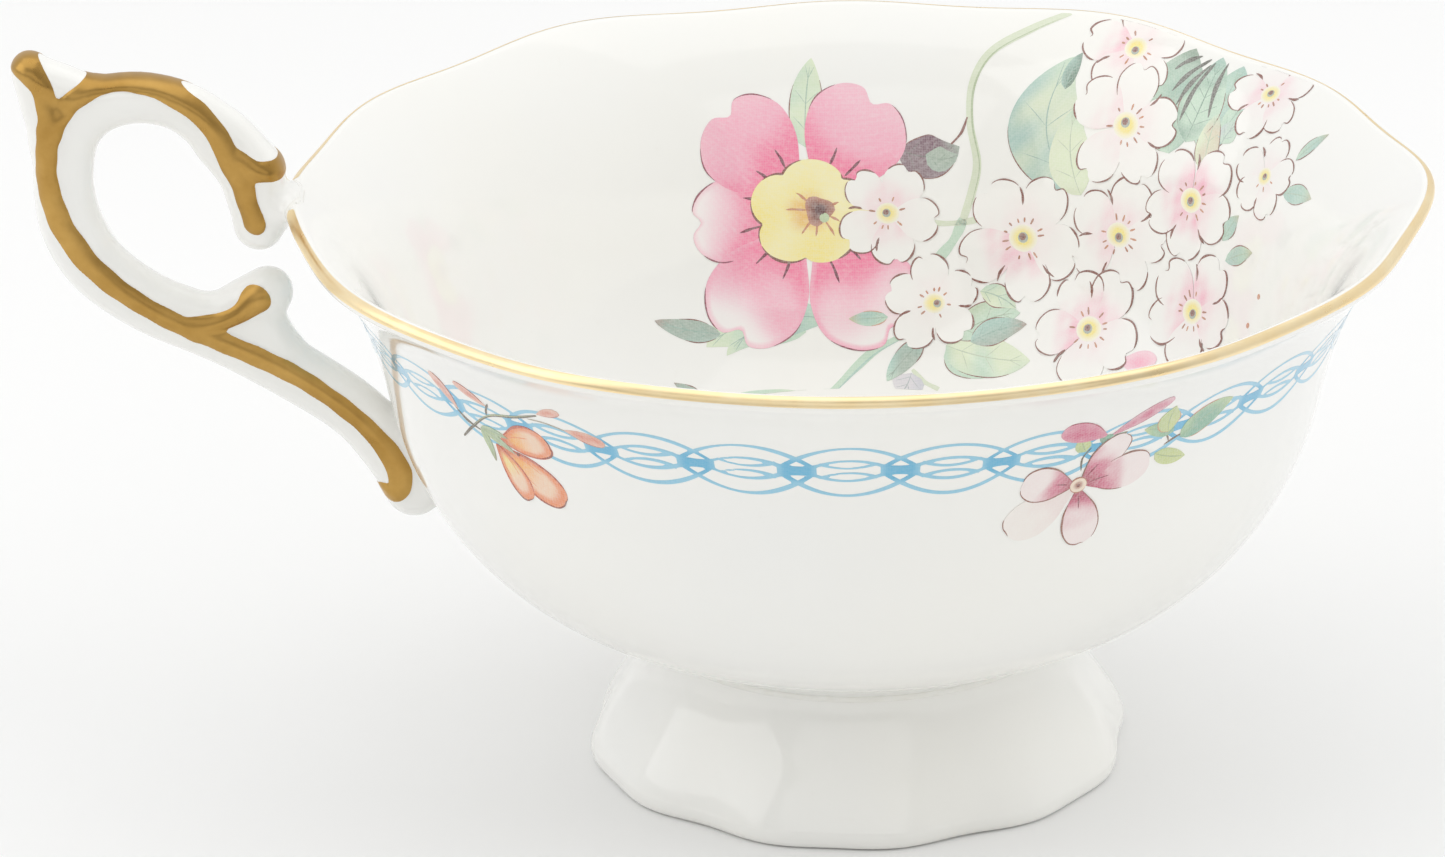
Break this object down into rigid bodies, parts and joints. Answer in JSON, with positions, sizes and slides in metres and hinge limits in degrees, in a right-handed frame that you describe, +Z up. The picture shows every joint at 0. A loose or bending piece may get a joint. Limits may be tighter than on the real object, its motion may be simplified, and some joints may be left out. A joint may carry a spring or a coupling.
{
  "type": "teacup",
  "caption": "Footed porcelain teacup with a lobed flared rim, lobed pedestal foot, scrolled ear handle, gilding, lattice border and printed blossoms.",
  "frame": {"origin": "centre of the foot, on the plane that the cup stands on", "axes": "+Z up, the handle towards -X, the decorated front towards -Y"},
  "size_m": [0.1338, 0.1076, 0.0719],
  "materials": {
    "bone_china": "smooth glossy glazed bone china, warm white",
    "fired_slip": "joining slip, fettled smooth and glazed over",
    "gold": "burnished gold film fired on over the glaze",
    "blue_enamel": "light blue printed enamel, fired glossy",
    "orange_enamel": "orange and grey-green printed enamel, fired glossy",
    "pink_enamel": "pink and green printed enamel, fired glossy",
    "bouquet_enamel": "pink, white, yellow and sage printed enamel, fired glossy"
  },
  "bodies": {
    "root": {"bowl": "bone_china", "pedestal_foot": "bone_china", "foot_slip_ring": "fired_slip", "handle": "bone_china", "upper_handle_slip": "fired_slip", "lower_handle_slip": "fired_slip", "rim_gilding": "gold", "handle_gilding_front": "gold", "handle_gilding_back": "gold", "border_transfer": "blue_enamel", "front_orange_blossom": "orange_enamel", "front_pink_blossom": "pink_enamel", "back_orange_blossom": "orange_enamel", "back_pink_blossom": "pink_enamel", "inner_bouquet": "bouquet_enamel"}
  },
  "joints": []
}
